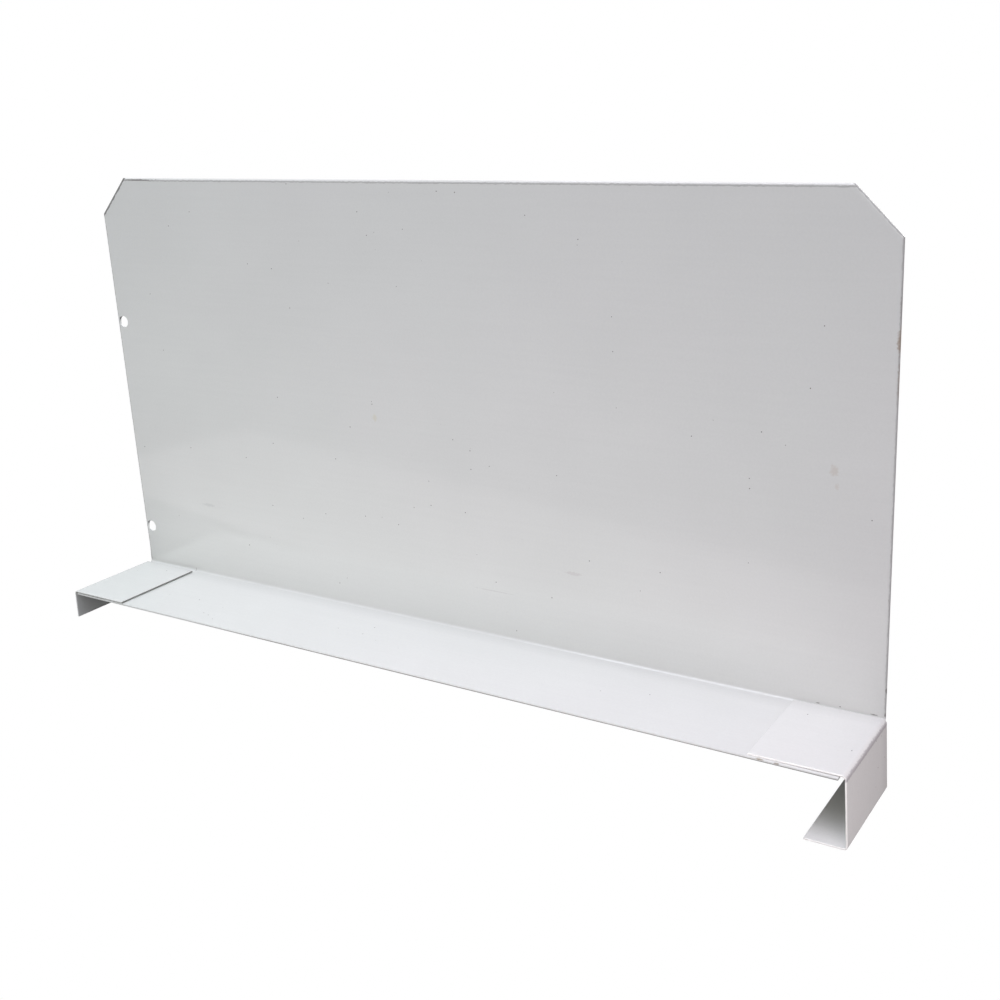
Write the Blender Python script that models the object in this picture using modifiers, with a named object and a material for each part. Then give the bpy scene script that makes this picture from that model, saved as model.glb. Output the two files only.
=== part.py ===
"""Steel shelf divider: an upright panel folded into a base flange, with an end bracket welded on at each end.

Lengths are in metres and +Z is up. +X runs along the panel, from the rear lip to the front hook, and the flange
reaches towards -Y. The origin is the middle of the flange's underside, the face that rests on the shelf.
"""

import math

import bmesh
import bpy
from mathutils import Matrix, Vector

# Driving dimensions of the folded panel.
SHEET = 0.0009              # sheet thickness, all three sheet parts
PANEL_LENGTH = 0.500
PANEL_HEIGHT = 0.251        # from the flange's underside to the top edge
FLANGE_DEPTH = 0.062        # over the outside of the fold
FOLD_RADIUS = 0.0016        # outer radius of the fold between panel and flange
CORNER_CUT = 0.0225         # leg of the 45 degree cut on each top corner
HOLE_RADIUS = 0.0035
HOLE_FROM_END = 0.0062      # hole centres, from the panel's rear end
HOLE_HEIGHTS = (0.0267, 0.1627)

# Driving dimensions of the two end brackets.
GAP = 0.0003                # clearance kept between neighbouring pieces
REAR_PLATE = 0.0427         # length of the plate on the flange, over its bend
REAR_DROP = 0.0177          # height of the lip, over its bend
REAR_RADIUS = 0.002         # outer radius of the lip's bend
REAR_SPLAY = math.radians(2.4)
FRONT_PLATE = 0.0468
FRONT_DROP = 0.0372         # from the top of the plate to the underside of the foot
FRONT_FOOT = 0.0209         # how far the foot reaches back under the shelf
FRONT_RADIUS = 0.003
FRONT_SPLAY = math.radians(2.3)
FRONT_OVERHANG = 0.0008     # how far the hook's leg stands outside the panel's front end
FRONT_SETBACK = 0.0017      # how far its plate stands back from the flange's free edge

# Resistance welds that hold each bracket on the flange.
WELD_RADIUS = 0.002
WELD_DEPTH = 0.00045        # how far a weld's pocket reaches into each of the two sheets
WELD_FROM_EDGE = 0.0105     # from the bracket's free edge
WELD_SPREAD = 0.038         # between the two welds of one bracket

BEND_STEPS = 8
ROUND_SIDES = 48
SHARP_ANGLE = math.radians(30)
MARGIN = 0.002              # how far a cutter runs past the faces it cuts

# Places worked out from the dimensions.
REAR_END = -PANEL_LENGTH / 2
FRONT_END = PANEL_LENGTH / 2
FLANGE_EDGE = -FLANGE_DEPTH / 2
PANEL_BACK = FLANGE_DEPTH / 2
PANEL_FACE = PANEL_BACK - SHEET
PLATE_UNDERSIDE = SHEET + GAP
PLATE_TOP = PLATE_UNDERSIDE + SHEET
PLATE_BACK_EDGE = PANEL_FACE - (FOLD_RADIUS - SHEET)

PAINT = (0.80, 0.81, 0.80, 1.0)
STEEL = (0.42, 0.42, 0.43, 1.0)


def clear_scene():
    for obj in list(bpy.data.objects):
        bpy.data.objects.remove(obj, do_unlink=True)


def new_collection(name):
    collection = bpy.data.collections.new(name)
    bpy.context.scene.collection.children.link(collection)
    return collection


def new_material(name, colour, roughness, metallic):
    material = bpy.data.materials.new(name)
    material.use_nodes = True
    shader = material.node_tree.nodes["Principled BSDF"]
    shader.inputs["Base Color"].default_value = colour
    shader.inputs["Roughness"].default_value = roughness
    shader.inputs["Metallic"].default_value = metallic
    return material


def new_object(name, bm, collection):
    mesh = bpy.data.meshes.new(name)
    bm.to_mesh(mesh)
    bm.free()
    obj = bpy.data.objects.new(name, mesh)
    collection.objects.link(obj)
    return obj


def rounded_path(corners, radius):
    """The points of a folded profile: its two ends, and an arc of this radius at every corner between them."""
    corners = [Vector(corner) for corner in corners]
    points = [corners[0]]
    for before, corner, after in zip(corners, corners[1:], corners[2:]):
        back = (before - corner).normalized()
        ahead = (after - corner).normalized()
        turn = math.pi - back.angle(ahead)
        setback = radius * math.tan(turn / 2)
        centre = corner + (back + ahead).normalized() * radius / math.cos(turn / 2)
        arc_start = corner + back * setback - centre
        arc_end = corner + ahead * setback - centre
        for step in range(BEND_STEPS + 1):
            share = step / BEND_STEPS
            arm = arc_start * math.sin((1 - share) * turn) + arc_end * math.sin(share * turn)
            points.append(centre + arm / math.sin(turn))
    points.append(corners[-1])
    return points


def folded_sheet(name, corners, radius, sweep, material, collection):
    """A sheet folded to the outline of its outer face, and swept sideways. The metal lies inside the folds."""
    bm = bmesh.new()
    points = [bm.verts.new(point) for point in rounded_path(corners, radius)]
    edges = [bm.edges.new(pair) for pair in zip(points, points[1:])]
    swept = bmesh.ops.extrude_edge_only(bm, edges=edges)["geom"]
    bmesh.ops.translate(bm, vec=sweep, verts=[item for item in swept if isinstance(item, bmesh.types.BMVert)])
    sheet = new_object(name, bm, collection)
    solidify = sheet.modifiers.new("thickness", "SOLIDIFY")
    solidify.thickness = SHEET
    solidify.offset = -1
    solidify.use_even_offset = True
    sheet.data.materials.append(material)
    sheet.data.shade_smooth()
    sheet.data.set_sharp_from_angle(angle=SHARP_ANGLE)
    return sheet


def new_cutter(name, bm, collection):
    cutter = new_object(name, bm, collection)
    cutter.hide_render = True
    cutter.display_type = "WIRE"
    return cutter


def box_cutter(name, low, high, collection):
    low, high = Vector(low), Vector(high)
    bm = bmesh.new()
    place = Matrix.Translation((low + high) / 2) @ Matrix.Diagonal((*(high - low), 1.0))
    bmesh.ops.create_cube(bm, size=1.0, matrix=place)
    return new_cutter(name, bm, collection)


def round_solid(radius, height, place):
    """A closed cylinder as a bmesh, its axis along the place matrix's Z."""
    bm = bmesh.new()
    bmesh.ops.create_cone(
        bm, cap_ends=True, segments=ROUND_SIDES, radius1=radius, radius2=radius, depth=height, matrix=place
    )
    return bm


def cut(piece, cutter):
    boolean = piece.modifiers.new(cutter.name, "BOOLEAN")
    boolean.operation = "DIFFERENCE"
    boolean.object = cutter


def corner_cutter(name, end, collection):
    """A square block on its edge that takes a top corner off the panel at 45 degrees."""
    side = 2 * CORNER_CUT
    bm = bmesh.new()
    outward = math.copysign(1, end)
    middle = Vector((end, PANEL_BACK - SHEET / 2, PANEL_HEIGHT))
    shift = Vector((outward, 0, 1)).normalized() * (side / 2 - CORNER_CUT / math.sqrt(2))
    turn = Matrix.Rotation(math.radians(45), 4, "Y")
    place = Matrix.Translation(middle + shift) @ turn @ Matrix.Diagonal((side, SHEET + 2 * MARGIN, side, 1.0))
    bmesh.ops.create_cube(bm, size=1.0, matrix=place)
    return new_cutter(name, bm, collection)


def hole_cutter(name, height, collection):
    turn = Matrix.Rotation(math.radians(90), 4, "X")
    place = Matrix.Translation((REAR_END + HOLE_FROM_END, PANEL_BACK - SHEET / 2, height)) @ turn
    return new_cutter(name, round_solid(HOLE_RADIUS, SHEET + 2 * MARGIN, place), collection)


def build_panel(material, parts, cutters):
    """Panel and flange, one sheet folded once, with the flange's ends cut back to clear the brackets' bends."""
    corners = [
        (REAR_END, PANEL_BACK, PANEL_HEIGHT),
        (REAR_END, PANEL_BACK, 0),
        (REAR_END, FLANGE_EDGE, 0),
    ]
    panel = folded_sheet("divider_panel", corners, FOLD_RADIUS, (PANEL_LENGTH, 0, 0), material, parts)
    for name, end in (("rear_corner_cut", REAR_END), ("front_corner_cut", FRONT_END)):
        cut(panel, corner_cutter(name, end, cutters))
    for name, height in zip(("lower_hole", "upper_hole"), HOLE_HEIGHTS):
        cut(panel, hole_cutter(name, height, cutters))
    rear_relief = REAR_RADIUS + GAP
    front_relief = FRONT_RADIUS + GAP - FRONT_OVERHANG
    reliefs = (
        ("rear_relief", REAR_END - MARGIN, REAR_END + rear_relief),
        ("front_relief", FRONT_END - front_relief, FRONT_END + MARGIN),
    )
    for name, low, high in reliefs:
        low_corner = (low, FLANGE_EDGE - MARGIN, -MARGIN)
        high_corner = (high, PLATE_BACK_EDGE + GAP, FOLD_RADIUS + MARGIN)
        cut(panel, box_cutter(name, low_corner, high_corner, cutters))
    return panel


def build_rear_bracket(material, parts):
    """A plate on the flange's rear end, bent down into a short lip that splays slightly outwards."""
    lean = math.tan(REAR_SPLAY) * REAR_DROP
    corners = [
        (REAR_END + REAR_PLATE, FLANGE_EDGE, PLATE_TOP),
        (REAR_END, FLANGE_EDGE, PLATE_TOP),
        (REAR_END - lean, FLANGE_EDGE, PLATE_TOP - REAR_DROP),
    ]
    sweep = (0, PLATE_BACK_EDGE - FLANGE_EDGE, 0)
    return folded_sheet("rear_lip_bracket", corners, REAR_RADIUS, sweep, material, parts)


def build_front_bracket(material, parts):
    """A plate on the flange's front end, bent down into a leg and back under it into a foot."""
    leg_top = FRONT_END + FRONT_OVERHANG
    leg_bottom = leg_top + math.tan(FRONT_SPLAY) * FRONT_DROP
    foot_height = PLATE_TOP - FRONT_DROP
    free_edge = FLANGE_EDGE + FRONT_SETBACK
    corners = [
        (leg_bottom - FRONT_FOOT, free_edge, foot_height),
        (leg_bottom, free_edge, foot_height),
        (leg_top, free_edge, PLATE_TOP),
        (leg_top - FRONT_PLATE, free_edge, PLATE_TOP),
    ]
    sweep = (0, PLATE_BACK_EDGE - free_edge, 0)
    return folded_sheet("front_hook_bracket", corners, FRONT_RADIUS, sweep, material, parts)


def build_welds(side, along, panel, bracket, material, parts, cutters):
    """Two weld nuggets, each in a pocket that is half in the flange and half in the bracket's plate."""
    middle_height = (SHEET + PLATE_UNDERSIDE) / 2
    pocket_height = GAP + 2 * WELD_DEPTH
    plate_middle = (FLANGE_EDGE + PLATE_BACK_EDGE) / 2
    for name, across in (("outer", -WELD_SPREAD / 2), ("inner", WELD_SPREAD / 2)):
        place = Matrix.Translation((along, plate_middle + across, middle_height))
        pocket_solid = round_solid(WELD_RADIUS + GAP, pocket_height, place)
        pocket = new_cutter(f"{side}_{name}_weld_pocket", pocket_solid, cutters)
        cut(panel, pocket)
        cut(bracket, pocket)
        nugget_solid = round_solid(WELD_RADIUS, pocket_height - 2 * GAP, place)
        nugget = new_object(f"{side}_weld_{name}", nugget_solid, parts)
        nugget.data.materials.append(material)
        nugget.data.shade_smooth()
        nugget.data.set_sharp_from_angle(angle=SHARP_ANGLE)


def main():
    clear_scene()
    parts = new_collection("shelf_divider")
    cutters = new_collection("shelf_divider_cutters")
    panel = build_panel(new_material("panel_paint", PAINT, 0.3, 0.0), parts, cutters)
    rear = build_rear_bracket(new_material("rear_bracket_paint", PAINT, 0.3, 0.0), parts)
    front = build_front_bracket(new_material("front_bracket_paint", PAINT, 0.3, 0.0), parts)
    weld_steel = new_material("weld_steel", STEEL, 0.55, 1.0)
    rear_welds = REAR_END + REAR_PLATE - WELD_FROM_EDGE
    front_welds = FRONT_END + FRONT_OVERHANG - FRONT_PLATE + WELD_FROM_EDGE
    build_welds("rear", rear_welds, panel, rear, weld_steel, parts, cutters)
    build_welds("front", front_welds, panel, front, weld_steel, parts, cutters)


main()
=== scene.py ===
import math

import bmesh
import bpy
from mathutils import Euler, Matrix, Vector, noise


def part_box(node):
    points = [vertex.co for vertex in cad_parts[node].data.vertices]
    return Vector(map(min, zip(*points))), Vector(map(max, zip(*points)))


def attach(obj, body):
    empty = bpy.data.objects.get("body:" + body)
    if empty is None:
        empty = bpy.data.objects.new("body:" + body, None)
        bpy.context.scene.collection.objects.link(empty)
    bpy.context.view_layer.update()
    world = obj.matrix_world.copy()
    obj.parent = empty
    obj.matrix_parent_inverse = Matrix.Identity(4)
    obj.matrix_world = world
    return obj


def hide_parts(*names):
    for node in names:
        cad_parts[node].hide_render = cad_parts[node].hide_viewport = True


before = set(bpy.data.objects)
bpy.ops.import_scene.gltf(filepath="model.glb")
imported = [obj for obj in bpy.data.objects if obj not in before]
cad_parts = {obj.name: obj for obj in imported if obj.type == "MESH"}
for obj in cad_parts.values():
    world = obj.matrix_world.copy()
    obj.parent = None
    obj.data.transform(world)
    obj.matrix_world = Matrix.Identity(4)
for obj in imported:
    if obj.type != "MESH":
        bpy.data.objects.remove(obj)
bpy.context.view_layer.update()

# Everything is in metres, in the divider's own frame: +X runs from the rear lip to the front hook,
# +Y from the flange's free edge to the panel, and Z is 0 under the flange.
mm = 0.001
panelLow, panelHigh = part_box("divider_panel")
rearLow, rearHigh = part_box("rear_lip_bracket")
frontLow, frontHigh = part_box("front_hook_bracket")

sheet = {
    "thickness": 0.9 * mm,
    "coatedEdge": 0.3 * mm,       # how far the coating rounds the cut edges
    "edgeSteps": 3,
    "bendSteps": 10,
    "holeSides": 64,
    "cutterDepth": 8 * mm,
    "cutterSpare": 2 * mm,        # how far a cutter reaches past the sheet
    "together": 1e-7,             # points closer than this are one point
}


def hexColour(code, alpha=1.0):
    # sRGB hex to the linear values that shaders work in
    channels = [int(code[i:i + 2], 16) / 255 for i in (1, 3, 5)]
    linear = [c / 12.92 if c <= 0.04045 else ((c + 0.055) / 1.055) ** 2.4 for c in channels]
    return (*linear, alpha)


def addNode(tree, kind, inputs=None, **settings):
    # an input takes a value, a socket, or a node whose first output is meant
    node = tree.nodes.new(kind)
    for name, value in settings.items():
        setattr(node, name, value)
    for socket, value in (inputs or {}).items():
        if isinstance(value, bpy.types.Node):
            value = next(output for output in value.outputs if output.enabled)
        if isinstance(value, bpy.types.NodeSocket):
            tree.links.new(value, node.inputs[socket])
        else:
            node.inputs[socket].default_value = value
    return node


def roundedPath(corners, radii):
    # the outer face's outline, with an arc at every inner corner
    corners = [Vector(c) for c in corners]
    points = [corners[0]]
    for before, corner, after, radius in zip(corners, corners[1:], corners[2:], radii):
        back, ahead = (before - corner).normalized(), (after - corner).normalized()
        turn = math.pi - back.angle(ahead)
        setback = radius * math.tan(turn / 2)
        centre = corner + (back + ahead).normalized() * radius / math.cos(turn / 2)
        arcStart, arcEnd = corner + back * setback - centre, corner + ahead * setback - centre
        for step in range(sheet["bendSteps"] + 1):
            share = step / sheet["bendSteps"]
            arm = arcStart * math.sin((1 - share) * turn) + arcEnd * math.sin(share * turn)
            points.append(centre + arm / math.sin(turn))
    return points + [corners[-1]]


def newObject(name, bm):
    mesh = bpy.data.meshes.new(name)
    bm.to_mesh(mesh)
    bm.free()
    obj = bpy.data.objects.new(name, mesh)
    bpy.context.scene.collection.objects.link(obj)
    return obj


def foldedSheet(name, corners, radii, sweep):
    bm = bmesh.new()
    points = [bm.verts.new(p) for p in roundedPath(corners, radii)]
    edges = [bm.edges.new(pair) for pair in zip(points, points[1:])]
    swept = bmesh.ops.extrude_edge_only(bm, edges=edges)["geom"]
    bmesh.ops.translate(bm, vec=sweep, verts=[v for v in swept if isinstance(v, bmesh.types.BMVert)])
    obj = newObject(name, bm)
    solidify = obj.modifiers.new("gauge", "SOLIDIFY")
    solidify.thickness = sheet["thickness"]
    solidify.offset = -1
    solidify.use_even_offset = True
    return obj


def boxCutter(low, high, turn=0.0):
    low, high = Vector(low), Vector(high)
    bm = bmesh.new()
    place = Matrix.Translation((low + high) / 2) @ Matrix.Rotation(turn, 4, "Y")
    bmesh.ops.create_cube(bm, size=1.0, matrix=place @ Matrix.Diagonal((*(high - low), 1.0)))
    return newObject("cutter", bm)


def roundCutter(centre, radius, depth):
    bm = bmesh.new()
    place = Matrix.Translation(centre) @ Matrix.Rotation(math.radians(90), 4, "X")
    bmesh.ops.create_cone(
        bm, cap_ends=True, segments=sheet["holeSides"],
        radius1=radius, radius2=radius, depth=depth, matrix=place,
    )
    return newObject("cutter", bm)


def finishSheet(obj, cutters):
    # cut, round the coated edges, and make the result the object's own mesh
    for cutter in cutters:
        boolean = obj.modifiers.new("cut", "BOOLEAN")
        boolean.operation = "DIFFERENCE"
        boolean.object = cutter
    bevel = obj.modifiers.new("coatedEdge", "BEVEL")
    bevel.width = sheet["coatedEdge"]
    bevel.segments = sheet["edgeSteps"]
    bevel.limit_method = "ANGLE"
    bevel.angle_limit = math.radians(40)
    evaluated = obj.evaluated_get(bpy.context.evaluated_depsgraph_get())
    mesh = bpy.data.meshes.new_from_object(evaluated)
    obj.modifiers.clear()
    obj.data = mesh
    for cutter in cutters:
        bpy.data.objects.remove(cutter, do_unlink=True)


def sliceSheet(bm, normal, low, high, step):
    # cuts the flat faces across, so that they can bend a little
    count = max(1, round((high - low) / step))
    for i in range(1, count):
        place = normal * (low + (high - low) * i / count)
        geometry = bm.verts[:] + bm.edges[:] + bm.faces[:]
        bmesh.ops.bisect_plane(bm, geom=geometry, dist=sheet["together"], plane_co=place, plane_no=normal)


def shapeSheet(obj, slices, move):
    bm = bmesh.new()
    bm.from_mesh(obj.data)
    for normal, low, high, step in slices:
        sliceSheet(bm, normal, low, high, step)
    for vert in bm.verts:
        vert.co += move(vert.co)
    bmesh.ops.dissolve_degenerate(bm, dist=sheet["together"], edges=bm.edges[:])
    bmesh.ops.recalc_face_normals(bm, faces=bm.faces[:])
    bm.to_mesh(obj.data)
    bm.free()
    obj.data.shade_smooth()
    weighted = obj.modifiers.new("flatFaces", "WEIGHTED_NORMAL")
    weighted.mode = "FACE_AREA"
    weighted.weight = 100


def dimple(point, centres):
    # a shallow round dent over each weld
    radius = weldShape["dimpleRadius"]
    for centre in centres:
        away = math.hypot(point.x - centre[0], point.y - centre[1])
        if away < radius:
            return -weldShape["dimpleDepth"] * (0.5 + 0.5 * math.cos(math.pi * away / radius))
    return 0.0


panelShape = {
    "foldRadius": 2.3 * mm,
    "cornerCut": 22.5 * mm,
    "holeRadius": 3.5 * mm,
    "holeFromEnd": 6.2 * mm,
    "holeHeights": (26.7 * mm, 162.7 * mm),
    "rearRelief": 2.3 * mm,       # how far the flange's ends are cut back, clear of the brackets' bends
    "frontRelief": 2.5 * mm,
    "reliefHeight": 3.6 * mm,
    "rearInset": 1.1 * mm,        # how far the cut sheet stands in from its nominal ends
    "frontInset": 0.2 * mm,
    "rollWidth": 1.4 * mm,        # the blanking die rolls the front arris over by this much
    "rollDepth": 0.55 * mm,
    "rollStep": 0.2 * mm,
    "rollAbove": 3 * mm,          # the fold's own edge isn't rolled
    "leastEdge": 0.25 * mm,       # the sheet left at a rolled edge
    "wave": 0.16 * mm,            # how far rolled sheet is out of flat
    "waveLength": 150 * mm,
    "stiffPanel": 40 * mm,        # the fold holds this much of the panel straight
    "stiffFlange": (4 * mm, 24 * mm),     # and this much of the flange: wholly, then less and less
    "grid": 10 * mm,
}
weldShape = {
    "fromEdge": 10.5 * mm,
    "spread": 38 * mm,
    "dimpleRadius": 3.2 * mm,
    "dimpleDepth": 0.07 * mm,
    "underside": 0.2 * mm,        # only points lower than this are on the flange's underside
}

backEdge = rearHigh.y             # beside the fold, as far as either bracket's plate can reach
plateMiddle = (panelLow.y + backEdge) / 2
weldRows = (plateMiddle - weldShape["spread"] / 2, plateMiddle + weldShape["spread"] / 2)
rearWelds = [(rearHigh.x - weldShape["fromEdge"], y) for y in weldRows]
frontWelds = [(frontLow.x + weldShape["fromEdge"], y) for y in weldRows]


def panelOutline():
    # each straight edge of the upright panel, as its outward normal and its distance along that normal
    s = panelShape
    rearEnd, frontEnd = panelLow.x + s["rearInset"], panelHigh.x - s["frontInset"]
    diagonal = math.sqrt(0.5)
    cutLine = (panelHigh.z - s["cornerCut"]) * diagonal
    return [
        (Vector((0, 0, 1)), panelHigh.z),
        (Vector((-1, 0, 0)), -rearEnd),
        (Vector((1, 0, 0)), frontEnd),
        (Vector((-diagonal, 0, diagonal)), cutLine - panelLow.x * diagonal),
        (Vector((diagonal, 0, diagonal)), cutLine + panelHigh.x * diagonal),
    ]


def buildDividerPanel():
    s = panelShape
    rearEnd, frontEnd = panelLow.x + s["rearInset"], panelHigh.x - s["frontInset"]
    outline = panelOutline()
    corners = [
        (rearEnd, panelHigh.y, panelHigh.z),
        (rearEnd, panelHigh.y, 0),
        (rearEnd, panelLow.y, 0),
    ]
    obj = foldedSheet("dividerPanel", corners, [s["foldRadius"]], (frontEnd - rearEnd, 0, 0))
    cutters = []
    cut, spare = s["cornerCut"], sheet["cutterSpare"]
    away = (cut - cut / math.sqrt(2)) / math.sqrt(2)
    half = Vector((cut, sheet["cutterDepth"] / 2, cut))
    for end, outward in ((panelLow.x, -1), (panelHigh.x, 1)):
        centre = Vector((end + outward * away, panelHigh.y, panelHigh.z + away))
        cutters.append(boxCutter(centre - half, centre + half, math.radians(45)))
    for height in s["holeHeights"]:
        centre = (panelLow.x + s["holeFromEnd"], panelHigh.y, height)
        cutters.append(roundCutter(centre, s["holeRadius"], sheet["cutterDepth"]))
    reliefs = (
        (panelLow.x - spare, panelLow.x + s["rearRelief"]),
        (panelHigh.x - s["frontRelief"], panelHigh.x + spare),
    )
    for start, end in reliefs:
        low, high = (start, panelLow.y - spare, -spare), (end, backEdge, s["reliefHeight"])
        cutters.append(boxCutter(low, high))
    finishSheet(obj, cutters)

    def move(point):
        up = min(max(point.z / s["stiffPanel"], 0), 1)
        place = Vector((point.x, 0, point.z)) / s["waveLength"]
        wave = s["wave"] * noise.noise(place + Vector((3.1, 0, 7.4))) * up
        inward = min(reach - point.dot(normal) for normal, reach in outline)
        onFront = point.z > s["rollAbove"] and point.y < panelHigh.y - sheet["thickness"] / 2
        if onFront and inward < s["rollWidth"]:
            turned = 1 - max(inward, 0) / s["rollWidth"]
            deepest = max(panelHigh.y - s["leastEdge"] - point.y, 0)
            wave += min(s["rollDepth"] * (1 - math.sqrt(max(1 - turned * turned, 0))), deepest)
        straight, free = s["stiffFlange"]
        out = min(max((panelHigh.y - straight - point.y) / (free - straight), 0), 1)
        sag = 0.5 * s["wave"] * noise.noise(Vector((point.x / s["waveLength"], 5.2, 1.7))) * out
        underneath = point.z < weldShape["underside"]
        dent = -dimple(point, rearWelds + frontWelds) if underneath else 0
        return Vector((0, wave, sag + dent))

    grid = s["grid"]
    slices = [
        (Vector((1, 0, 0)), panelLow.x, panelHigh.x, grid),
        (Vector((0, 1, 0)), panelLow.y, panelHigh.y - s["foldRadius"], grid),
        (Vector((0, 0, 1)), s["foldRadius"], panelHigh.z, grid),
    ]
    for normal, reach in outline:
        slices.append((normal, reach - s["rollWidth"] - s["rollStep"], reach, s["rollStep"]))
    shapeSheet(obj, slices, move)
    return obj


rearShape = {
    "gap": 0.3 * mm,
    "backInset": 2.6 * mm,        # the plate stops short of the fold
    "radius": 2.0 * mm,
    "splay": math.radians(2.4),
    "grid": 1.6 * mm,
}


def buildRearLipBracket():
    s = rearShape
    drop = rearHigh.z - rearLow.z
    lean = math.tan(s["splay"]) * drop
    corners = [
        (rearHigh.x, panelLow.y, rearHigh.z),
        (rearLow.x + lean, panelLow.y, rearHigh.z),
        (rearLow.x, panelLow.y, rearLow.z),
    ]
    width = backEdge - s["backInset"] - panelLow.y
    obj = foldedSheet("rearLipBracket", corners, [s["radius"]], (0, width, 0))
    finishSheet(obj, [])
    lift = s["gap"] + 2 * sheet["thickness"] - rearHigh.z

    def move(point):
        onTop = point.z > rearHigh.z - 0.4 * sheet["thickness"]
        dent = dimple(point, rearWelds) if onTop else 0
        return Vector((0, 0, lift + dent))

    slices = [
        (Vector((1, 0, 0)), rearLow.x + s["radius"] + lean, rearHigh.x, s["grid"]),
        (Vector((0, 1, 0)), panelLow.y, backEdge, s["grid"]),
    ]
    shapeSheet(obj, slices, move)
    return obj


frontShape = {
    "gapAtBend": 0.3 * mm,
    "gapAtEdge": 0.03 * mm,
    "radius": 2.6 * mm,
    "footRadius": 1.7 * mm,
    "foot": 20.9 * mm,
    "splay": math.radians(2.3),
    "overhang": 0.8 * mm,
    "grid": 1.6 * mm,
}


def buildFrontHookBracket():
    s = frontShape
    drop = frontHigh.z - frontLow.z
    legTop = panelHigh.x + s["overhang"]
    legBottom = legTop + math.tan(s["splay"]) * drop
    corners = [
        (legBottom - s["foot"], frontLow.y, frontLow.z),
        (legBottom, frontLow.y, frontLow.z),
        (legTop, frontLow.y, frontHigh.z),
        (frontLow.x, frontLow.y, frontHigh.z),
    ]
    radii = [s["footRadius"], s["radius"]]
    obj = foldedSheet("frontHookBracket", corners, radii, (0, backEdge - frontLow.y, 0))
    finishSheet(obj, [])

    def move(point):
        onPlate = point.z > -sheet["thickness"]
        onTop = point.z > frontHigh.z - 0.4 * sheet["thickness"]
        share = min(max((point.x - frontLow.x) / (legTop - 3 * mm - frontLow.x), 0), 1)
        gap = s["gapAtEdge"] + (s["gapAtBend"] - s["gapAtEdge"]) * share
        settle = gap + 2 * sheet["thickness"] - frontHigh.z if onPlate else 0
        dent = dimple(point, frontWelds) if onTop else 0
        return Vector((0, 0, settle + dent))

    slices = [
        (Vector((1, 0, 0)), frontLow.x, legTop - s["radius"], s["grid"]),
        (Vector((0, 1, 0)), frontLow.y, backEdge, s["grid"]),
    ]
    shapeSheet(obj, slices, move)
    return obj


coat = {
    "coolWhite": "#DFE4DE",
    "warmWhite": "#E8E6E4",
    "drift": 0.4,                 # how much of the tint wanders, beside its change from end to end
    "tintLength": 150 * mm,
    "cloudLength": 55 * mm,
    "clouds": (0.985, 1.005),
    "streakLength": 70 * mm,      # rolling streaks of the bare sheet, still felt under the coating
    "streakWidth": 2.5 * mm,
    "streaks": (-0.006, 0.006),
    "streakDepth": 0.02 * mm,
    "grainSize": 1.2 * mm,
    "grain": (-0.012, 0.012),
    "roughness": (0.03, 0.08),
    "stainRoughness": 0.35,       # added where a stain or a rubbed spot has dulled it, and on the painted shade marks
    "ior": 1.5,
    "orangePeel": 1.8 * mm,       # one bump; a real one is about 1 mm and wouldn't show
    "peelDepth": 0.018 * mm,
    "gritSpacing": 6 * mm,
    "gritRadius": 0.35 * mm,
    "gritShare": 0.26,            # how many of the places hold a grain
    "grit": "#625C55",
    "thinCoat": "#AFAEAC",        # on cut edges the coating is thin and the grey sheet shows
    # dark grey, used as painted shade along some edges
    "darkEdge": "#4F4C49",
    "raggedSize": 2.5 * mm,
    "raggedBy": 0.25 * mm,
    "bandSoftness": 0.15 * mm,
    "bandAbove": (2.6 * mm, 3.4 * mm),
    "stainRim": 0.3,              # how far a stain's rim wanders, as a share of its size
}
# Painted shade: zones made darker at the panel's top, in the corner of the fold and inside the hook: how
# much is lost, then on each axis where it starts and is full
paintedShadeZones = {
    # painted shade: the panel darker toward its top
    "shadedTop": (0.07, (("Z", 130 * mm, panelHigh.z),)),
    # painted shade in the corner between the panel and the flange
    "shadedFold": (0.09, (("Z", 30 * mm, 3 * mm), ("Y", 19 * mm, panelHigh.y - 3 * mm))),
    # painted shade inside the hook, darker toward its back
    "shadedHookInside": (
        0.42,
        (("Y", -26 * mm, 20 * mm), ("Z", -22 * mm, -26 * mm),
         ("X", frontHigh.x - 2 * mm, frontHigh.x - 4.5 * mm)),
    ),
}
# Dark edges: painted shade along the flange's lower arris and on the rear plate's cut end, given in the
# same way after their colour and strength
darkEdgeZones = {
    # painted shade on the flange's downward-facing lower arris
    "flangeLowerArris": (
        coat["darkEdge"], 0.85,
        (("Z", 0.45 * mm, 0.25 * mm), ("Y", -30.7 * mm, -30.85 * mm), ("X", -160 * mm, -100 * mm)),
    ),
    # painted shade on the rear plate's cut end, which faces away from the light
    "rearPlateCut": (
        coat["darkEdge"], 0.7,
        (("X", rearHigh.x - 0.16 * mm, rearHigh.x - 0.08 * mm),
         ("X", rearHigh.x + 0.2 * mm, rearHigh.x + 0.1 * mm),
         ("Z", 1.0 * mm, 1.1 * mm), ("Z", 3.2 * mm, 3.0 * mm)),
    ),
}
# Bands along the upright panel's edges, in the order of its outline: from, to, strength, colour
edgeBands = {
    "top": (0.8 * mm, 1.7 * mm, 0.7, coat["thinCoat"]),
    "rear": (-1.0 * mm, 0.9 * mm, 0.7, coat["thinCoat"]),
    "front": (-1.0 * mm, 0.65 * mm, 0.45, coat["thinCoat"]),
    "rearCorner": (-1.0 * mm, 1.5 * mm, 0.8, coat["darkEdge"]),
    "frontCorner": (-1.0 * mm, 0.6 * mm, 0.8, coat["thinCoat"]),
}
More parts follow.
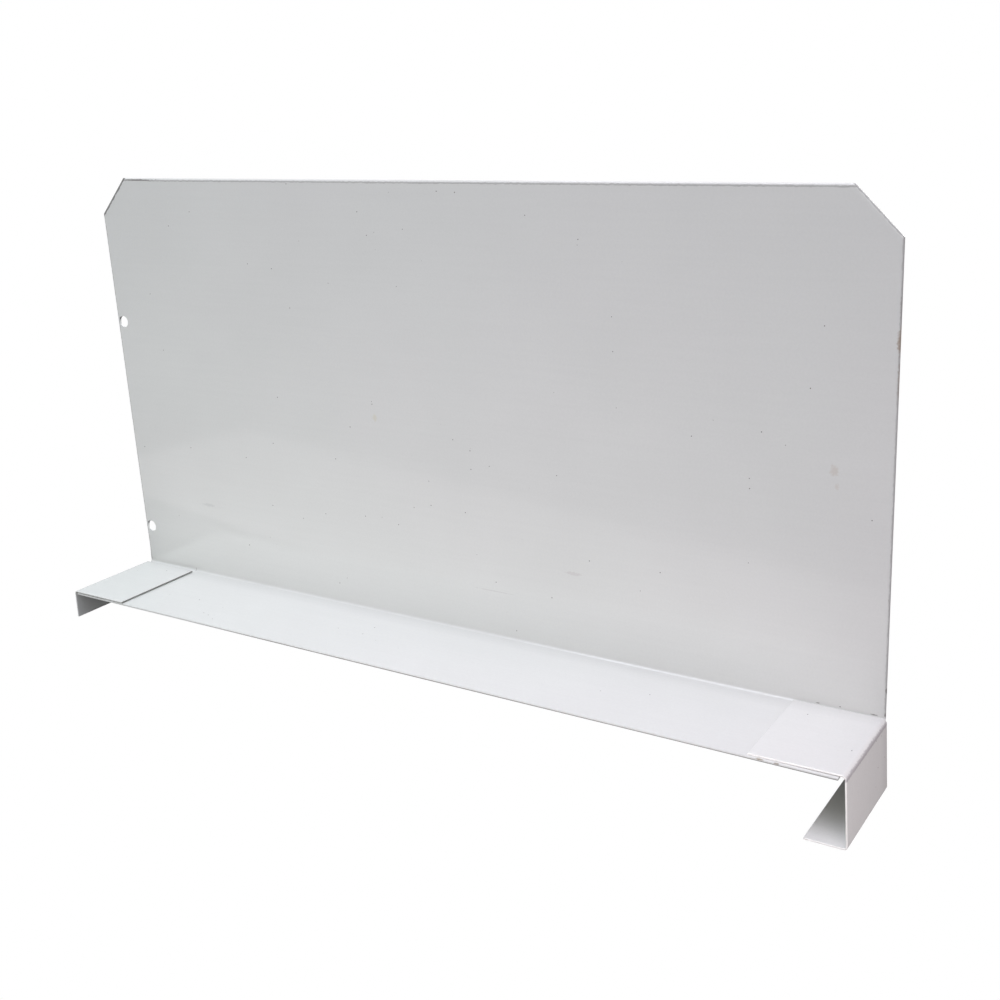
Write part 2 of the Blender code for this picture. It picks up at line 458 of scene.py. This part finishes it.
# Wear, stains and painted shade: place and half widths in mm, colour, strength. The dark marks at the
# holes' rims are painted shadow on the holes' walls, and shadeAlongBend is a painted shade line along the
# hook's bend.
blemishesAndShade = {
    "frontEdgeScuff": ((250.2, 30.3, 198), (1.3, 3, 9), "#A5A29E", 0.6),
    "frontEdgeRust": ((250.4, 30.3, 184), (2.4, 3, 7), "#A48F7B", 0.75),
    "frontEdgeRub": ((250.2, 30.3, 166), (1.2, 3, 12), "#AE9E90", 0.6),
    "lowerEdgeChip": ((249.9, 30.3, 16), (0.9, 3, 1.8), "#716B66", 0.8),
    "cornerChip": ((249.9, 30.3, 3.6), (0.9, 3, 1.2), "#716B66", 0.8),
    "foldChip": ((216.1, 29.9, 2.4), (1.2, 1.2, 0.35), "#7C7873", 0.8),
    "foldChipByHook": ((244.3, 29.9, 2.5), (2.2, 1.2, 0.35), "#66625E", 0.8),
    "rustyCorner": ((210.5, -30.7, 1.0), (2.0, 1.0, 0.5), "#9A8A70", 0.8),
    "rustyCornerTail": ((218.8, -30.8, 1.0), (1.6, 1.0, 0.5), "#8F8474", 0.8),
    "orangeSpot": ((221.5, 30, 121.5), (2.6, 0.7, 3.4), "#CDBFB0", 0.35),
    "orangeSpotLow": ((223, 30, 114), (1.4, 0.7, 2.0), "#CDBFB0", 0.25),
    "yellowSpot": ((-47.5, 30, 120), (2.0, 0.7, 2.6), "#D9D5BC", 0.4),
    "scuff": ((79.5, 30, 47), (6.0, 0.7, 1.2), "#CCC8C5", 0.4),
    "scratch": ((27, 30, 28), (16, 0.7, 0.3), "#C6C3C1", 0.4),
    "specksByHole": ((-188, 30, 48.7), (6.0, 0.7, 1.2), "#C2C6C2", 0.35),
    "legNick": ((250.8, 11.7, -24.8), (1.5, 0.7, 0.6), "#8B8481", 0.8),
    # painted shadow on the holes' walls, at their upper-left
    "upperHoleShadow": ((-245.6, 30.5, 164.3), (2.0, 3, 2.0), "#33312F", 0.95),
    "lowerHoleShadow": ((-245.6, 30.5, 28.3), (2.0, 3, 2.0), "#33312F", 0.95),
    "topCornerRim": ((-215, 30.0, 250.0), (15, 3, 0.5), "#55524E", 0.8),
    # painted shade: a dark line along the hook's bend
    "shadeAlongBend": ((251.2, 0, 0.0), (4, 80, 1.4), "#8A828C", 0.5),
    "plateSpeck": ((-218.1, -19.6, 3.0), (0.9, 0.7, 1), "#A9A9A6", 0.6),
}


def softZone(tree, strength, fades):
    # the strength where every value is past its far limit, and nothing before its near limit
    mask = strength
    for value, start, full in fades:
        step = addNode(tree, "ShaderNodeMapRange", {"Value": value, "From Min": start, "From Max": full})
        mask = addNode(tree, "ShaderNodeMath", {0: mask, 1: step}, operation="MULTIPLY")
    return mask


def newMaterial(name):
    material = bpy.data.materials.new(name)
    material.use_nodes = True
    material.node_tree.nodes.clear()
    return material, material.node_tree


def powderCoatedSteel():
    # polyester powder, sprayed and baked: a glossy off-white whose orange peel softens what it mirrors,
    # thin and grey on the cut edges
    material, tree = newMaterial("powderCoatedSteel")
    place = addNode(tree, "ShaderNodeTexCoord").outputs["Object"]
    axes = addNode(tree, "ShaderNodeSeparateXYZ", {"Vector": place}).outputs
    patterns = {}
    stretch = [1 / coat["streakLength"], 1 / coat["streakWidth"], 1 / coat["streakWidth"]]
    alongRolling = addNode(tree, "ShaderNodeVectorMath", {0: place, 1: stretch}, operation="MULTIPLY")
    for name, vector, size, detail in (
        ("tint", place, coat["tintLength"], 2.0),
        ("clouds", place, coat["cloudLength"], 2.0),
        ("streaks", alongRolling, 1.0, 2.0),
        ("grain", place, coat["grainSize"], 3.0),
        ("ragged", place, coat["raggedSize"], 3.0),
        ("peel", place, coat["orangePeel"], 1.5),
    ):
        inputs = {"Vector": vector, "Scale": 1 / size, "Detail": detail}
        patterns[name] = addNode(tree, "ShaderNodeTexNoise", inputs)
    # nearly all of a pattern lies in its middle range, and each use spreads that between its limits
    spread = {}
    for name, pattern, (low, high) in (
        ("clouds", "clouds", coat["clouds"]),
        ("streaks", "streaks", coat["streaks"]),
        ("grain", "grain", coat["grain"]),
        ("unevenness", "ragged", (-coat["raggedBy"], coat["raggedBy"])),
        ("gloss", "clouds", coat["roughness"]),
    ):
        inputs = {"Value": patterns[pattern], "From Min": 0.3, "From Max": 0.7}
        inputs.update({"To Min": low, "To Max": high})
        spread[name] = addNode(tree, "ShaderNodeMapRange", inputs)

    # the white drifts from cool at the rear to warm at the front
    along = softZone(tree, 1.0, [(axes["X"], -300 * mm, 300 * mm)])
    tint = addNode(tree, "ShaderNodeMix", {"Factor": coat["drift"], "A": along, "B": patterns["tint"]})
    whites = {"Factor": tint, "A": hexColour(coat["coolWhite"]), "B": hexColour(coat["warmWhite"])}
    white = addNode(tree, "ShaderNodeMix", whites, data_type="RGBA")
    shade = 0.0
    for name in ("clouds", "streaks", "grain"):
        shade = addNode(tree, "ShaderNodeMath", {0: shade, 1: spread[name]}, operation="ADD")
    # painted shade: each zone takes its share off the white's value
    kept = 1.0
    for lost, fades in paintedShadeZones.values():
        zone = softZone(tree, lost, [(axes[axis], start, full) for axis, start, full in fades])
        kept = addNode(tree, "ShaderNodeMath", {0: kept, 1: zone}, operation="SUBTRACT")
    shade = addNode(tree, "ShaderNodeMath", {0: shade, 1: kept}, operation="MULTIPLY")
    colour = addNode(tree, "ShaderNodeHueSaturation", {"Color": white, "Value": shade})

    # layers over the white: grit, cut edges and painted shade on dark edges, then stains and painted shade
    # marks, each a colour and where it shows
    cells = addNode(tree, "ShaderNodeTexVoronoi", {"Vector": place, "Scale": 1 / coat["gritSpacing"]})
    chosen = addNode(tree, "ShaderNodeSeparateColor", {"Color": cells.outputs["Color"]}).outputs["Red"]
    size = coat["gritRadius"] / coat["gritSpacing"]
    bare = 1 - coat["gritShare"]
    grains = [(cells.outputs["Distance"], size, 0.6 * size), (chosen, bare - 0.02, bare + 0.02)]
    layers = [(coat["grit"], softZone(tree, 1.0, grains))]
    soft = coat["bandSoftness"]
    for (normal, reach), (near, far, strength, code) in zip(panelOutline(), edgeBands.values()):
        outward = addNode(tree, "ShaderNodeVectorMath", {0: place, 1: normal}, operation="DOT_PRODUCT")
        inward = addNode(
            tree, "ShaderNodeMath", {0: reach, 1: outward.outputs["Value"]}, operation="SUBTRACT"
        )
        inputs = {0: inward, 1: spread["unevenness"]}
        uneven = addNode(tree, "ShaderNodeMath", inputs, operation="ADD")
        fades = [(axes["Z"], *coat["bandAbove"]), (uneven, near, near + soft)]
        fades.append((uneven, far + soft, far - soft))
        layers.append((code, softZone(tree, strength, fades)))
    # painted shade along the dark edges
    for code, strength, fades in darkEdgeZones.values():
        zone = softZone(tree, strength, [(axes[axis], start, full) for axis, start, full in fades])
        layers.append((code, zone))
    wander = {"To Min": -coat["stainRim"], "To Max": coat["stainRim"]}
    grainRange = {"Value": patterns["grain"], "From Min": 0.25, "From Max": 0.75}
    rimNoise = addNode(tree, "ShaderNodeMapRange", {**grainRange, **wander})
    stainAndShadeMask = 0.0
    for centre, halfWidths, code, strength in blemishesAndShade.values():
        # an ellipsoid with a ragged rim
        middle = [c * mm for c in centre]
        scale = [1 / (w * mm) for w in halfWidths]
        offset = addNode(tree, "ShaderNodeVectorMath", {0: place, 1: middle}, operation="SUBTRACT")
        scaled = addNode(tree, "ShaderNodeVectorMath", {0: offset, 1: scale}, operation="MULTIPLY")
        away = addNode(tree, "ShaderNodeVectorMath", {0: scaled}, operation="LENGTH").outputs["Value"]
        rim = addNode(tree, "ShaderNodeMath", {0: away, 1: rimNoise}, operation="ADD")
        mark = softZone(tree, strength, [(rim, 1.0, 0.5)])
        layers.append((code, mark))
        stainAndShadeMask = addNode(tree, "ShaderNodeMath", {0: stainAndShadeMask, 1: mark}, operation="MAXIMUM")
    for code, mask in layers:
        inputs = {"Factor": mask, "A": colour, "B": hexColour(code)}
        colour = addNode(tree, "ShaderNodeMix", inputs, data_type="RGBA")

    relief = {"Height": patterns["peel"], "Strength": 1.0, "Distance": coat["peelDepth"]}
    peel = addNode(tree, "ShaderNodeBump", relief)
    relief.update({"Height": patterns["streaks"], "Distance": coat["streakDepth"], "Normal": peel})
    surface = addNode(tree, "ShaderNodeBump", relief)
    inputs = {0: stainAndShadeMask, 1: coat["stainRoughness"], 2: spread["gloss"]}
    dulled = addNode(tree, "ShaderNodeMath", inputs, operation="MULTIPLY_ADD")
    shader = addNode(
        tree, "ShaderNodeBsdfPrincipled",
        {"Base Color": colour, "Roughness": dulled, "IOR": coat["ior"], "Normal": surface},
    )
    addNode(tree, "ShaderNodeOutputMaterial", {"Surface": shader})
    return material


weldSteel = {
    "bright": "#8B8A88",
    "heated": "#6E625A",          # brown where the heat has tinted it
    "patchSize": 1.2 * mm,
    "roughness": (0.4, 0.7),
    "pitDepth": 0.05 * mm,
}


def spotWeldSteel():
    # mild steel melted and pressed between the sheets: dull grey with a heat tint
    material, tree = newMaterial("spotWeldSteel")
    place = addNode(tree, "ShaderNodeTexCoord").outputs["Object"]
    patches = addNode(
        tree, "ShaderNodeTexNoise", {"Vector": place, "Scale": 1 / weldSteel["patchSize"], "Detail": 3.0}
    )
    colours = {"Factor": patches, "A": hexColour(weldSteel["bright"]), "B": hexColour(weldSteel["heated"])}
    colour = addNode(tree, "ShaderNodeMix", colours, data_type="RGBA")
    rough, rougher = weldSteel["roughness"]
    roughness = addNode(tree, "ShaderNodeMapRange", {"Value": patches, "To Min": rough, "To Max": rougher})
    pits = addNode(
        tree, "ShaderNodeBump", {"Height": patches, "Strength": 0.4, "Distance": weldSteel["pitDepth"]}
    )
    shader = addNode(
        tree, "ShaderNodeBsdfPrincipled",
        {"Base Color": colour, "Roughness": roughness, "Metallic": 1.0, "Normal": pits},
    )
    addNode(tree, "ShaderNodeOutputMaterial", {"Surface": shader})
    return material


print("making the sheet parts")
paint = powderCoatedSteel()
for build, node in (
    (buildDividerPanel, "divider_panel"),
    (buildRearLipBracket, "rear_lip_bracket"),
    (buildFrontHookBracket, "front_hook_bracket"),
):
    piece = build()
    piece.data.materials.clear()
    piece.data.materials.append(paint)
    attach(piece, "root")
    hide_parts(node)

print("giving the welds their steel")
steel = spotWeldSteel()
for name in ("rear_weld_outer", "rear_weld_inner", "front_weld_outer", "front_weld_inner"):
    for slotPlace in bpy.data.objects[name].material_slots:
        slotPlace.material = steel

# What each side of the room sends to the divider, and how strongly
room = {
    "left": ("#F4FFFC", 1.07),
    "right": ("#F8F4FF", 1.02),
    "front": ("#FFF3EE", 0.52),
    "back": ("#FFFFFF", 0.1),
    "above": ("#FFFFFF", 0.02),
}
studio = {
    "floorSize": 12.0,
    "floorShown": "#FFFFFF",
    "floorShade": "#6A6A6A",
    "floorGap": 0.2 * mm,
    "footContact": 20 * mm,       # where the foot meets the floor, from the hook's outer end
}
# Area lights: colour, watts, size, place, and the point each one faces
lights = {
    "softboxAbove": {
        "colour": ("#EDF0FF", 17.6), "size": (1.4, 1.0), "place": (-0.2, -0.75, 1.5), "aim": (0, 0, 0),
    },
    "softboxTop": {
        "colour": ("#FFF6FF", 7.3), "size": (1.6, 1.0), "place": (-0.2, -0.15, 1.6), "aim": (0, -0.1, 0),
    },
    "softboxFront": {
        "colour": ("#FAFFF4", 1.7), "size": (1.2, 0.8), "place": (0.3, -1.3, 0.8), "aim": (0, 0, 0),
    },
    "softboxBack": {
        "colour": ("#FFFFFF", 18.0), "size": (1.2, 1.2), "place": (0.3, 1.4, 0.9), "aim": (0, 0, 0.1),
        "only": ["dividerPanel"],
    },
    "sideCard": {
        "colour": ("#FFF6F6", 1.45), "size": (0.2, 0.2), "place": (0.57, -0.35, 0.04),
        "aim": (0.25, 0, -0.01), "only": ["frontHookBracket"], "mirrored": False,
    },
    "benchTop": {
        "colour": ("#FFF8F8", 0.205), "size": (0.70, 0.17), "place": (-0.11, -0.13, -0.012),
        "turn": (180, 2.3, 6.5), "only": ["dividerPanel", "rearLipBracket", "frontHookBracket"],
    },
}


def roomWorld():
    # the light from each direction is mixed from the five sides; the view itself shows plain white
    world = bpy.data.worlds.new("studioRoom")
    world.use_nodes = True
    tree = world.node_tree
    tree.nodes.clear()
    direction = addNode(tree, "ShaderNodeTexCoord").outputs["Generated"]
    sides = {
        "left": (-1, 0, 0), "right": (1, 0, 0), "front": (0, -1, 0), "back": (0, 1, 0), "above": (0, 0, 1),
    }
    total = (0, 0, 0)
    for side, axis in sides.items():
        code, strength = room[side]
        facing = addNode(tree, "ShaderNodeVectorMath", {0: direction, 1: axis}, operation="DOT_PRODUCT")
        toward = addNode(tree, "ShaderNodeMath", {0: facing.outputs["Value"], 1: 0.0}, operation="MAXIMUM")
        share = addNode(tree, "ShaderNodeMath", {0: toward, 1: toward}, operation="MULTIPLY")
        colour = [strength * c for c in hexColour(code)[:3]]
        light = addNode(tree, "ShaderNodeVectorMath", {0: colour, "Scale": share}, operation="SCALE")
        total = addNode(tree, "ShaderNodeVectorMath", {0: total, 1: light}, operation="ADD")
    path = addNode(tree, "ShaderNodeLightPath")
    roomLight = addNode(tree, "ShaderNodeBackground", {"Color": total})
    white = addNode(tree, "ShaderNodeBackground", {"Color": (1, 1, 1, 1)})
    shown = addNode(tree, "ShaderNodeMixShader", {0: path.outputs["Is Camera Ray"], 1: roomLight, 2: white})
    addNode(tree, "ShaderNodeOutputWorld", {"Surface": shown})
    bpy.context.scene.world = world


def buildFloor():
    # the divider rests on its lip and its foot, so the floor is tilted by the difference between them
    tilt = math.atan2(rearLow.z - frontLow.z, frontHigh.x - studio["footContact"] - rearLow.x)
    bm = bmesh.new()
    bmesh.ops.create_grid(bm, x_segments=1, y_segments=1, size=studio["floorSize"] / 2)
    floor = newObject("studioFloor", bm)
    floor.location = (rearLow.x, 0, rearLow.z - studio["floorGap"])
    floor.rotation_euler = (0, tilt, 0)
    # white board seen by the camera, and a greyer one for the light it sends back
    material, tree = newMaterial("matteWhiteBoard")
    board = addNode(tree, "ShaderNodeBsdfDiffuse", {"Color": hexColour(studio["floorShade"])})
    lit = addNode(tree, "ShaderNodeEmission", {"Color": hexColour(studio["floorShown"]), "Strength": 1.0})
    path = addNode(tree, "ShaderNodeLightPath")
    shown = addNode(tree, "ShaderNodeMixShader", {0: path.outputs["Is Camera Ray"], 1: board, 2: lit})
    addNode(tree, "ShaderNodeOutputMaterial", {"Surface": shown})
    floor.data.materials.append(material)


def areaLight(name, made):
    data = bpy.data.lights.new(name, "AREA")
    data.shape = "RECTANGLE"
    data.size, data.size_y = made["size"]
    code, data.energy = made["colour"]
    data.color = hexColour(code)[:3]
    light = bpy.data.objects.new(name, data)
    light.location = made["place"]
    if "aim" in made:
        facing = (Vector(made["aim"]) - Vector(made["place"])).to_track_quat("-Z", "Y")
        light.rotation_euler = facing.to_euler()
    else:
        light.rotation_euler = [math.radians(angle) for angle in made["turn"]]
    light.visible_camera = False
    light.visible_glossy = made.get("mirrored", True)
    bpy.context.scene.collection.objects.link(light)
    if "only" in made:
        receivers = bpy.data.collections.new(name + "Receivers")
        for piece in made["only"]:
            receivers.objects.link(bpy.data.objects[piece])
        light.light_linking.receiver_collection = receivers


print("setting the floor, lights and camera")
buildFloor()
roomWorld()
for name, made in lights.items():
    areaLight(name, made)

view = {
    "lens": 45.665,
    "sensor": 36,
    "shift": (-0.08, -0.03),
    "place": (0.40474, -0.50867, 0.29442),
    "turn": (73.192, 1.917, 30.05),
}
cameraData = bpy.data.cameras.new("camera")
cameraData.lens = view["lens"]
cameraData.sensor_width = view["sensor"]
cameraData.shift_x, cameraData.shift_y = view["shift"]
camera = bpy.data.objects.new("camera", cameraData)
camera.location = view["place"]
camera.rotation_euler = Euler([math.radians(angle) for angle in view["turn"]])
bpy.context.scene.collection.objects.link(camera)
bpy.context.scene.camera = camera
bpy.context.scene.view_settings.view_transform = "Standard"
